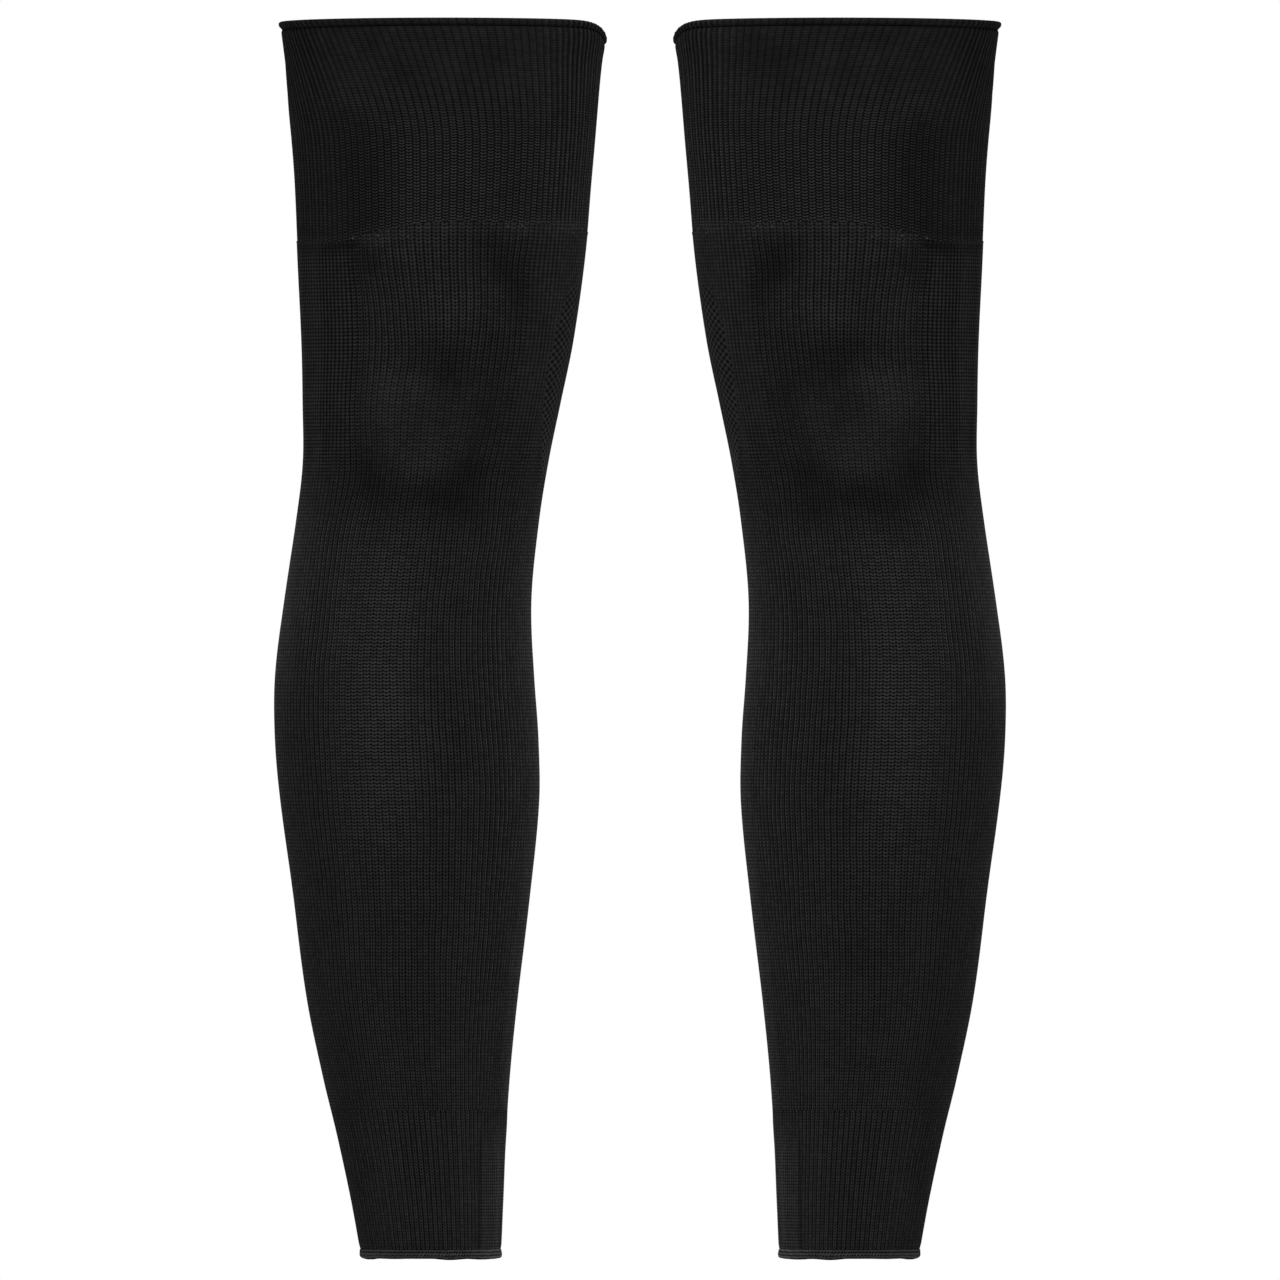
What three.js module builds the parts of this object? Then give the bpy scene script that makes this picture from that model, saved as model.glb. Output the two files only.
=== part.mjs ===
import * as THREE from 'three';

// Pair of knitted leg warmers, filled out as when worn
// Millimetres, +Z up; the front faces -Y, and X = 0 is midway between the two legs
// The origin is halfway up the thigh cuffs, on the thighs' centre from front to back

// Knitted wall, from its outer crests to its plain inside
const RIB_WALL = 2.2;
const LEG_WALL = 1.8;
const HEM_WALL = 2.4;
const SEAM_GAP = 0.3;

// The cuff and the ankle have the same number of ribs, each with a crest and a groove
const RIBS = 63;
const CUFF_RELIEF = 0.9;
const ANKLE_RELIEF = 0.7;

// Facets round the plain leg, and columns round the inside of every wall
const LEG_FACETS = 84;
const COLUMNS = 42;

// Heights of the edges and seams
const TOP_EDGE = 49.3;
const CUFF_SEAM = -51;
const ANKLE_SEAM = -452;
const HEM_SEAM = -516;
const BOTTOM_EDGE = -520.9;

// Top edge: it dips where the rim rolls over at the inner side, and lies lower at the back
const INNER_DIP = 7.6;
const INNER_DIP_TURN = radians(-95);
const INNER_DIP_WIDTH = radians(20);
const BACK_DIP = 2;

// Cuff seam: an arch, highest near the front, that falls twice towards the outer side, gently
// and then in a step
const SEAM_ARCH = 6.9;
const SEAM_PEAK_TURN = radians(-13.5);
const SEAM_FALL = 3;
const SEAM_STEP_START = radians(30);
const SEAM_STEP_FULL = radians(40);
const SEAM_STEP_END = radians(105);

// Ribs of the cuff lean outwards above this height, more so on the outer side
const LEAN_START = -8;
const LEAN_TURN = 0.2;
const LEAN_EXTRA_OUTSIDE = 0.7;

// Form of the filled-out tube, a row for each height: the distance of its outer and inner edges
// from X = 0, its depth from front to back, and how far its centre lies behind the thigh's centre
const FORM = [
  { height: -522, outer: 127.8, inner: 64.3, depth: 88, back: 9 },
  { height: -494, outer: 132.9, inner: 62.9, depth: 91, back: 9 },
  { height: -466, outer: 138.9, inner: 61.7, depth: 95, back: 8.5 },
  { height: -438, outer: 145.5, inner: 60.2, depth: 101, back: 8.5 },
  { height: -402, outer: 153.1, inner: 56.6, depth: 109, back: 9 },
  { height: -356, outer: 159.1, inner: 51.1, depth: 119, back: 10 },
  { height: -310, outer: 165.5, inner: 46.5, depth: 128, back: 10 },
  { height: -282, outer: 168.0, inner: 46.9, depth: 131, back: 9 },
  { height: -254, outer: 168.0, inner: 48.8, depth: 132, back: 7.5 },
  { height: -218, outer: 163.6, inner: 50.0, depth: 130, back: 5 },
  { height: -181, outer: 158.2, inner: 46.4, depth: 127, back: 2 },
  { height: -153, outer: 155.0, inner: 41.9, depth: 129, back: 0 },
  { height: -126, outer: 155.0, inner: 36.3, depth: 132, back: -1 },
  { height: -98, outer: 155.6, inner: 30.8, depth: 133, back: -1 },
  { height: -61, outer: 157.4, inner: 25.5, depth: 133, back: 0 },
  { height: -24, outer: 158.9, inner: 22.2, depth: 136, back: 0 },
  { height: 12, outer: 161.9, inner: 19.2, depth: 142, back: 0 },
  { height: 30, outer: 163.3, inner: 17.3, depth: 145, back: 0 },
  { height: 41, outer: 164.7, inner: 15.4, depth: 148, back: 0 },
  { height: 50, outer: 166.4, inner: 14.8, depth: 150, back: 0 },
];

// Soft ridges and troughs at the front, where the cloth is stretched over the knee and shin
// A turn is in degrees from the front towards the outer side; push is outwards
const SWELLS = [
  { height: -86, turn: -8, tall: 18, wide: 22, push: 2.4 },
  { height: -71, turn: -32, tall: 17, wide: 16, push: -2 },
  { height: -108, turn: -2, tall: 9, wide: 24, push: -1.4 },
  { height: -129, turn: 14, tall: 17, wide: 20, push: 2.2 },
  { height: -161, turn: 30, tall: 17, wide: 14, push: -4 },
  { height: -160, turn: -24, tall: 19, wide: 14, push: -4.2 },
  { height: -242, turn: 8, tall: 62, wide: 15, push: 1.8 },
];

// Rows of the cuff from the seam to the top edge: the share of the way up and the outward lift
// The last three rows round over the turned welt above its groove
const CUFF_ROWS = [
  { share: 0, lift: -0.5 },
  { share: 0.05, lift: 0 },
  { share: 0.36, lift: 0 },
  { share: 0.66, lift: 0 },
  { share: 0.935, lift: 0 },
  { share: 0.962, lift: -0.9 },
  { share: 0.982, lift: 0.3 },
  { share: 1, lift: -0.7 },
];

// Heights of the rings between the seams, the lowest first
const LEG_HEIGHTS = [-420, -385, -350, -315, -280, -245, -212, -184, -158, -132, -106, -80];
const ANKLE_HEIGHTS = [-500, -484, -468];
const HEM_ROWS = [
  { height: BOTTOM_EDGE, lift: 0 },
  { height: BOTTOM_EDGE + 1.8, lift: 0.8 },
  { height: HEM_SEAM - SEAM_GAP / 2, lift: 0.3 },
];

const ROUNDING = 1e-9;
const yarn = { color: 0x1b1b1e, roughness: 0.95, metalness: 0 };
const formHeights = FORM.map((row) => row.height);
const formValues = FORM.flatMap((row) => [row.outer, row.inner, row.depth, row.back]);
const form = new THREE.CubicInterpolant(formHeights, formValues, 4, new Float64Array(4));

function radians(degrees) {
  return THREE.MathUtils.degToRad(degrees);
}

// The shorter way round between two turns
function turnBetween(a, b) {
  return THREE.MathUtils.euclideanModulo(a - b + Math.PI, 2 * Math.PI) - Math.PI;
}

function bell(distance, width) {
  return Math.exp(-((distance / width) ** 2));
}

function swell(height, turn) {
  let push = 0;
  for (const s of SWELLS) {
    const round = turnBetween(turn, radians(s.turn));
    push += s.push * bell(height - s.height, s.tall) * bell(round, radians(s.wide));
  }
  return push;
}

// A point of the tube: turn 0 is the front and a quarter turn is the outer side
function formPoint(height, turn, lift) {
  const [outer, inner, depth, back] = form.evaluate(height);
  const halfWide = (outer - inner) / 2;
  const halfDeep = depth / 2;
  const normal = new THREE.Vector2(Math.sin(turn) / halfWide, -Math.cos(turn) / halfDeep);
  normal.normalize().multiplyScalar(lift + swell(height, turn));
  const sideways = (outer + inner) / 2 + halfWide * Math.sin(turn) + normal.x;
  return new THREE.Vector3(-sideways, back - halfDeep * Math.cos(turn) + normal.y, height);
}

function topEdge(turn) {
  const rolled = INNER_DIP * bell(turnBetween(turn, INNER_DIP_TURN), INNER_DIP_WIDTH);
  return TOP_EDGE - rolled - BACK_DIP * (1 - Math.cos(turn)) / 2;
}

function seamCurve(turn) {
  const fromFront = turnBetween(turn, 0);
  const slope = THREE.MathUtils.smoothstep(fromFront, 0, SEAM_STEP_START);
  const step = THREE.MathUtils.smoothstep(fromFront, SEAM_STEP_START, SEAM_STEP_FULL);
  const ends = THREE.MathUtils.smoothstep(fromFront, SEAM_STEP_FULL, SEAM_STEP_END);
  const arch = SEAM_ARCH * Math.cos(turn - SEAM_PEAK_TURN);
  return CUFF_SEAM + arch - SEAM_FALL * (slope + step - 2 * ends);
}

// Height of the seam under the cuff: straight between the wall's columns, so its sides match
function cuffSeam(turn) {
  const step = 2 * Math.PI / COLUMNS;
  const column = Math.floor(turn / step + ROUNDING);
  const along = turn / step - column;
  return THREE.MathUtils.lerp(seamCurve(column * step), seamCurve((column + 1) * step), along);
}

// The turn of a rib that starts straight up and leans more the nearer it is to the top edge
function leaned(turn, share) {
  const lean = LEAN_TURN * share * share * (2 - share);
  return turn + lean * (1 + LEAN_EXTRA_OUTSIDE * Math.sin(turn));
}

// Joins an outer ring to an inner one at an end of the wall, facing down or up
function endFaces(outer, inner, facesDown) {
  const faces = [];
  const ratio = outer.length / inner.length;
  const half = Math.ceil(ratio / 2);
  inner.forEach((from, j) => {
    const to = inner[(j + 1) % inner.length];
    for (let k = 0; k < ratio; k += 1) {
      const a = outer[(j * ratio + k) % outer.length];
      const b = outer[(j * ratio + k + 1) % outer.length];
      faces.push([a, b, k < half ? from : to]);
      if (k === half - 1) faces.push([b, to, from]);
    }
  });
  return facesDown ? faces : faces.map(([a, b, c]) => [a, c, b]);
}

// Faces between two rings of the same size, the lower first
function bandFaces(lower, upper, facesOut) {
  const faces = [];
  lower.forEach((a, k) => {
    const next = (k + 1) % lower.length;
    faces.push([a, upper[k], upper[next]], [a, upper[next], lower[next]]);
  });
  return facesOut ? faces : faces.map(([a, b, c]) => [a, c, b]);
}

// A closed tube wall of one row of rings after another, the lowest first
// outerAt and innerAt give the point of a row at a turn; every other outer point is in a groove
function tubeWall(rowCount, outerCount, innerCount, outerAt, innerAt) {
  const points = [];
  const ring = (count, pointAt) => Array.from({ length: count }, (_, k) => {
    points.push(pointAt(2 * Math.PI * k / count, k % 2 === 1));
    return points.length - 1;
  });
  const rows = Array.from({ length: rowCount }, (_, row) => ({
    outer: ring(outerCount, (turn, groove) => outerAt(row, turn, groove)),
    inner: ring(innerCount, (turn) => innerAt(row, turn)),
  }));
  const faces = endFaces(rows[0].outer, rows[0].inner, true);
  for (let row = 1; row < rowCount; row += 1) {
    faces.push(...bandFaces(rows[row - 1].outer, rows[row].outer, true));
    faces.push(...bandFaces(rows[row - 1].inner, rows[row].inner, false));
  }
  faces.push(...endFaces(rows[rowCount - 1].outer, rows[rowCount - 1].inner, false));
  const geometry = new THREE.BufferGeometry().setFromPoints(points);
  geometry.setIndex(faces.flat());
  geometry.computeVertexNormals();
  return geometry;
}

// Deep one-by-one rib, with a turned welt at its top edge
function thighCuff() {
  const pointAt = (row, turn, lift) => {
    const { share } = CUFF_ROWS[row];
    const seam = cuffSeam(turn) + SEAM_GAP / 2;
    const straight = THREE.MathUtils.lerp(seam, TOP_EDGE, share);
    const rise = (straight - LEAN_START) / (TOP_EDGE - LEAN_START);
    const turned = leaned(turn, THREE.MathUtils.clamp(rise, 0, 1));
    return formPoint(THREE.MathUtils.lerp(seam, topEdge(turned), share), turned, lift);
  };
  return tubeWall(
    CUFF_ROWS.length,
    2 * RIBS,
    COLUMNS,
    (row, turn, groove) => pointAt(row, turn, CUFF_ROWS[row].lift - (groove ? CUFF_RELIEF : 0)),
    (row, turn) => pointAt(row, turn, -RIB_WALL),
  );
}

// Long plain tube over the knee and calf, up to the arched seam
function legTube() {
  const heights = [ANKLE_SEAM + SEAM_GAP / 2, ...LEG_HEIGHTS];
  const heightAt = (row, turn) => heights[row] ?? cuffSeam(turn) - SEAM_GAP / 2;
  return tubeWall(
    heights.length + 1,
    LEG_FACETS,
    COLUMNS,
    (row, turn) => formPoint(heightAt(row, turn), turn, 0),
    (row, turn) => formPoint(heightAt(row, turn), turn, -LEG_WALL),
  );
}

// One-by-one rib round the ankle
function ankleRib() {
  const heights = [HEM_SEAM + SEAM_GAP / 2, ...ANKLE_HEIGHTS, ANKLE_SEAM - SEAM_GAP / 2];
  return tubeWall(
    heights.length,
    2 * RIBS,
    COLUMNS,
    (row, turn, groove) => formPoint(heights[row], turn, groove ? -ANKLE_RELIEF : 0),
    (row, turn) => formPoint(heights[row], turn, -RIB_WALL),
  );
}

// Narrow band that closes the bottom edge, a little proud of the rib
function hemBand() {
  return tubeWall(
    HEM_ROWS.length,
    COLUMNS,
    COLUMNS,
    (row, turn) => formPoint(HEM_ROWS[row].height, turn, HEM_ROWS[row].lift),
    (row, turn) => formPoint(HEM_ROWS[row].height, turn, -HEM_WALL),
  );
}

function mesh(name, geometry) {
  const piece = new THREE.Mesh(geometry, new THREE.MeshStandardMaterial(yarn));
  piece.name = name;
  return piece;
}

function legWarmer(side) {
  const leg = new THREE.Group();
  leg.add(mesh(`${side}_thigh_cuff`, thighCuff()));
  leg.add(mesh(`${side}_leg`, legTube()));
  leg.add(mesh(`${side}_ankle_rib`, ankleRib()));
  leg.add(mesh(`${side}_hem_band`, hemBand()));
  return leg;
}

const pair = new THREE.Group();
const leftLeg = legWarmer('left');
leftLeg.scale.x = -1;
pair.add(legWarmer('right'), leftLeg);

export default pair;
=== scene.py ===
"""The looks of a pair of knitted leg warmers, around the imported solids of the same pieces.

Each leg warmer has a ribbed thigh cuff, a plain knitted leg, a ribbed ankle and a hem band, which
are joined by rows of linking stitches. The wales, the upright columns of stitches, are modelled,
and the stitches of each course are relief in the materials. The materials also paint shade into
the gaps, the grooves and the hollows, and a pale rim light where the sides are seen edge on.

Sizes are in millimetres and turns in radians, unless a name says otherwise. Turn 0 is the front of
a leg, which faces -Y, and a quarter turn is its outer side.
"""

import logging
import math
from collections.abc import Sequence
from dataclasses import dataclass, field
from enum import Enum

import bmesh
import bpy
import numpy as np
from mathutils import Matrix

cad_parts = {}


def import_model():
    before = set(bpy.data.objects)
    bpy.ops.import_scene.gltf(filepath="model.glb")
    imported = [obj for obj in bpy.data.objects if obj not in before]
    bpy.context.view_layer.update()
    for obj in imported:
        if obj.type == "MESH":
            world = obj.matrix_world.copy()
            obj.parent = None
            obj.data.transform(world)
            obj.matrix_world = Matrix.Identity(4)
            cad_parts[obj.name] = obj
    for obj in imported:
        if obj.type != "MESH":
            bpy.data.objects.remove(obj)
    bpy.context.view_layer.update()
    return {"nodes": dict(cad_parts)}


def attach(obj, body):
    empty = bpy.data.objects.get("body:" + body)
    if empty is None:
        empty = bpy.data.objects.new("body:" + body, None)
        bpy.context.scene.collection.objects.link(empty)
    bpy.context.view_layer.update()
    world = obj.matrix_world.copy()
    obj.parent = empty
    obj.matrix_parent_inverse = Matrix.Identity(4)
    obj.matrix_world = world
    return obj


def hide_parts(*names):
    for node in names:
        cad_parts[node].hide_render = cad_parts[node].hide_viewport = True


log = logging.getLogger("leg_warmers")

MM = 0.001
TURN = 2 * math.pi

# The picture that the camera frames, and its scale
PICTURE_PX = 1280
MM_PER_PX = 0.46

# Heights of the edges and seams
TOP_EDGE = 49.3
CUFF_SEAM = -51.0
ANKLE_SEAM = -452.0
HEM_SEAM = -516.0
BOTTOM_EDGE = -520.9

# Wales round a leg warmer, the same from edge to edge; two of them make a rib
WALES = 126

# Height of a course of stitches, at heights up the cuff and up the leg
CUFF_COURSES = ((-60.0, 1.38), (-10.0, 1.38), (25.0, 1.1), (60.0, 1.1))
LEG_COURSES = (
    (-460.0, 1.43),
    (-416.0, 1.43),
    (-414.0, 1.53),
    (-380.0, 1.60),
    (-200.0, 1.63),
    (-153.0, 1.57),
    (-126.0, 1.67),
    (-40.0, 1.68),
)

# How much wider the wales are at the front than by equal turns, at heights up the leg
WALE_SPREAD = ((-520.0, 0.16), (-452.0, 0.12), (-356.0, 0.08), (-230.0, 0.03), (-150.0, 0.08), (-60.0, 0.0))

# Painted rim light, a paler colour painted where the sides are seen edge on: height, share at the
# inner side and share at the outer side
RIM_LIGHT_TABLE = (
    (-520.0, 1.0, 0.20),
    (-400.0, 1.0, 0.20),
    (-270.0, 1.0, 0.30),
    (-235.0, 1.0, 0.65),
    (-190.0, 1.0, 0.65),
    (-170.0, 0.60, 0.25),
    (-140.0, 0.20, 0.05),
    (-50.0, 0.20, 0.0),
    (-42.0, 0.70, 0.10),
    (0.0, 0.70, 0.10),
    (50.0, 0.30, 0.10),
)


class Side(Enum):
    """Which of the two legs a warmer is worn on, with the direction of its outer side along X."""

    RIGHT = -1
    LEFT = 1

    @property
    def label(self) -> str:
        """The name that starts the names of this side's pieces."""
        return self.name.lower()


class Knit(Enum):
    """What a finish dresses: a wall, which shows its stitches, or loose strands of yarn."""

    WALL = "wall"
    STRAND = "single strands"


@dataclass(frozen=True)
class Section:
    """The tube at one height: the distance of its edges from X = 0, its depth and its centre."""

    height: float
    outer: float
    inner: float
    depth: float
    back: float


@dataclass(frozen=True)
class Swell:
    """A soft ridge or trough: its centre, half sizes, outward push and the slope of its length."""

    height: float
    turn_degrees: float
    tall: float
    wide_degrees: float
    push: float
    slope: float = 0.0


SECTIONS = (
    Section(-522, 127.8, 64.3, 88, 9),
    Section(-494, 132.9, 62.9, 91, 9),
    Section(-466, 138.9, 61.7, 95, 8.5),
    Section(-438, 145.5, 60.2, 101, 8.5),
    Section(-402, 153.1, 56.6, 109, 9),
    Section(-356, 159.1, 51.1, 119, 10),
    Section(-310, 165.5, 46.5, 128, 10),
    Section(-282, 168.0, 46.9, 131, 9),
    Section(-254, 168.0, 48.8, 132, 7.5),
    Section(-218, 163.6, 50.0, 130, 5),
    Section(-181, 158.2, 46.4, 127, 2),
    Section(-153, 155.0, 41.9, 129, 0),
    Section(-126, 155.0, 36.3, 132, -1),
    Section(-98, 155.6, 30.8, 133, -1),
    Section(-61, 157.4, 25.5, 133, 0),
    Section(-24, 158.9, 22.2, 136, 0),
    Section(12, 161.9, 19.2, 142, 0),
    Section(30, 163.3, 17.3, 145, 0),
    Section(41, 164.7, 15.4, 148, 0),
    Section(50, 166.4, 14.8, 150, 0),
)

SWELLS = (
    Swell(-86, -8, 18, 22, 2.4),
    Swell(-71, -32, 17, 16, -2.0),
    Swell(-108, -2, 9, 24, -1.4),
    Swell(-129, 14, 17, 20, 2.2),
    Swell(-161, 30, 17, 14, -4.0),
    Swell(-160, -24, 19, 14, -4.2),
    Swell(-242, 8, 62, 15, 1.8),
)

# Finer creases of the cloth, at the front and behind the knee
CREASES = (
    Swell(-56, 36, 1.6, 6, -1.1, 0.10),
    Swell(-108, 4, 4.5, 22, -0.7, -0.45),
    Swell(-146, 20, 4.0, 14, -0.6, 0.35),
    Swell(-176, -6, 5.0, 20, -0.5, 0.25),
    Swell(-96, 172, 3.2, 34, -1.0, 0.08),
    Swell(-118, 186, 3.6, 40, -1.3, -0.06),
    Swell(-139, 176, 3.2, 30, -1.1, 0.10),
    Swell(-128, 160, 5.0, 26, 0.8, 0.05),
    Swell(-470, 150, 3.0, 24, -0.5, 0.10),
    Swell(-486, 200, 3.4, 28, -0.6, -0.10),
)


def between(a: np.ndarray, b: float) -> np.ndarray:
    """The shorter way round from turn b to turn a."""
    return np.mod(a - b + math.pi, TURN) - math.pi


def ease(value: np.ndarray, low: float, high: float) -> np.ndarray:
    """0 below low, 1 above high and a smooth rise between them."""
    share = np.clip((value - low) / (high - low), 0, 1)
    return share * share * (3 - 2 * share)


def bell(distance: np.ndarray, width: float) -> np.ndarray:
    """1 at distance 0, falling smoothly to nearly 0 at twice the width."""
    return np.exp(-((distance / width) ** 2))


def through(x: np.ndarray, xs: np.ndarray, ys: np.ndarray) -> np.ndarray:
    """A smooth curve through the points (xs, ys).

    Args:
        x: Where the curve is read.
        xs: The points' places, ascending.
        ys: The points' values.

    Returns:
        The curve's values at x.
    """
    slopes = np.gradient(ys, xs, edge_order=1)
    slopes[1:-1] = (ys[2:] - ys[:-2]) / (xs[2:] - xs[:-2])
    i = np.clip(np.searchsorted(xs, x, side="right") - 1, 0, len(xs) - 2)
    step = xs[i + 1] - xs[i]
    t = (x - xs[i]) / step
    start = (1 + 2 * t) * (1 - t) ** 2 * ys[i] + t * (1 - t) ** 2 * step * slopes[i]
    end = t * t * (3 - 2 * t) * ys[i + 1] + t * t * (t - 1) * step * slopes[i + 1]
    return start + end


def course_at(height: np.ndarray, table: Sequence[tuple[float, float]]) -> np.ndarray:
    """The number of courses up to a height, from a table of heights and course heights."""
    places, sizes = (np.array(values) for values in zip(*table))
    steps = np.diff(places) * (1 / sizes[1:] + 1 / sizes[:-1]) / 2
    return np.interp(height, places, np.concatenate([[0], np.cumsum(steps)]))


@dataclass
class SoftNoise:
    """Smooth seeded noise from -1 to 1 over a tube, without a seam where its turns meet."""

    seed: int
    around: int
    cell_height: float
    low: float = -540.0
    cells_up: int = field(default=512)

    def __post_init__(self) -> None:
        """Draws the noise's grid."""
        draw = np.random.default_rng(self.seed)
        self.grid = draw.uniform(-1, 1, (self.cells_up, self.around))

    def at(self, turn: np.ndarray, height: np.ndarray) -> np.ndarray:
        """The noise at turns and heights, which are broadcast."""
        u = np.mod(turn / TURN, 1) * self.around
        v = (height - self.low) / self.cell_height
        u, v = np.broadcast_arrays(u, v)
        i, j = np.floor(u).astype(int), np.floor(v).astype(int)
        s, t = ease(u - i, 0, 1), ease(v - j, 0, 1)
        j = np.clip(j, 0, self.cells_up - 2)
        left, right = i % self.around, (i + 1) % self.around
        low = self.grid[j, left] * (1 - s) + self.grid[j, right] * s
        high = self.grid[j + 1, left] * (1 - s) + self.grid[j + 1, right] * s
        return low * (1 - t) + high * t


@dataclass
class LegForm:
    """The form of the filled-out tube of one leg warmer."""

    side: Side
    sections: tuple[Section, ...] = SECTIONS
    swells: tuple[Swell, ...] = SWELLS + CREASES

    def column(self, name: str, height: np.ndarray) -> np.ndarray:
        """One of the sections' sizes at any height."""
        xs = np.array([s.height for s in self.sections], float)
        ys = np.array([getattr(s, name) for s in self.sections], float)
        return through(np.asarray(height, float), xs, ys)

    def swell(self, height: np.ndarray, turn: np.ndarray) -> np.ndarray:
        """How far the soft ridges and troughs push the wall outwards."""
        push = np.zeros(np.broadcast(height, turn).shape)
        for s in self.swells:
            across = np.degrees(between(turn, math.radians(s.turn_degrees)))
            up = height - s.height - s.slope * across
            push += s.push * bell(up, s.tall) * bell(across, s.wide_degrees)
        return push

    def points(self, height: np.ndarray, turn: np.ndarray, lift: np.ndarray) -> np.ndarray:
        """Points of the wall.

        Args:
            height: Their heights.
            turn: Their turns from the front.
            lift: How far they stand out from the tube's form.

        Returns:
            An array with a last axis of X, Y and Z, in millimetres.
        """
        height, turn, lift = np.broadcast_arrays(height, turn, lift)
        outer, inner = self.column("outer", height), self.column("inner", height)
        half_wide, half_deep = (outer - inner) / 2, self.column("depth", height) / 2
        across, along = np.sin(turn) / half_wide, -np.cos(turn) / half_deep
        out = (lift + self.swell(height, turn)) / np.hypot(across, along)
        x = (outer + inner) / 2 + half_wide * np.sin(turn) + across * out
        y = self.column("back", height) - half_deep * np.cos(turn) + along * out
        return np.stack([self.side.value * x, y, height], axis=-1)

    def spread(self, height: np.ndarray, turn: np.ndarray) -> np.ndarray:
        """The turns of wales that lie evenly round a tube that is deeper than it is wide."""
        at, share = (np.array(values) for values in zip(*WALE_SPREAD))
        return turn + 0.5 * np.interp(height, at, share) * np.sin(2 * turn)

    def halo(self, height: np.ndarray, turn: np.ndarray) -> np.ndarray:
        """How much pale rim light is painted where the wall is seen edge on, at the inner and the outer
        side.
        """
        at, inner, outer = (np.array(values, float) for values in zip(*RIM_LIGHT_TABLE))
        inner, outer = np.interp(height, at, inner), np.interp(height, at, outer)
        return inner + (outer - inner) * (0.5 + 0.5 * np.sin(turn))

    def top_edge(self, turn: np.ndarray) -> np.ndarray:
        """The height of the rim, which rolls over and dips at the inner side."""
        rolled = 7.6 * bell(between(turn, math.radians(-95)), math.radians(20))
        return TOP_EDGE - rolled - (1 - np.cos(turn))

    def cuff_seam(self, turn: np.ndarray) -> np.ndarray:
        """The height of the arched seam under the cuff, lower on the outer front."""
        front = between(turn, 0.0)
        slope = ease(front, 0.0, math.radians(30))
        step = ease(front, math.radians(30), math.radians(40))
        ends = ease(front, math.radians(40), math.radians(105))
        arch = CUFF_SEAM + 6.9 * np.cos(turn + math.radians(13.5))
        return arch - 3.0 * (slope + step - 2 * ends)


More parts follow.
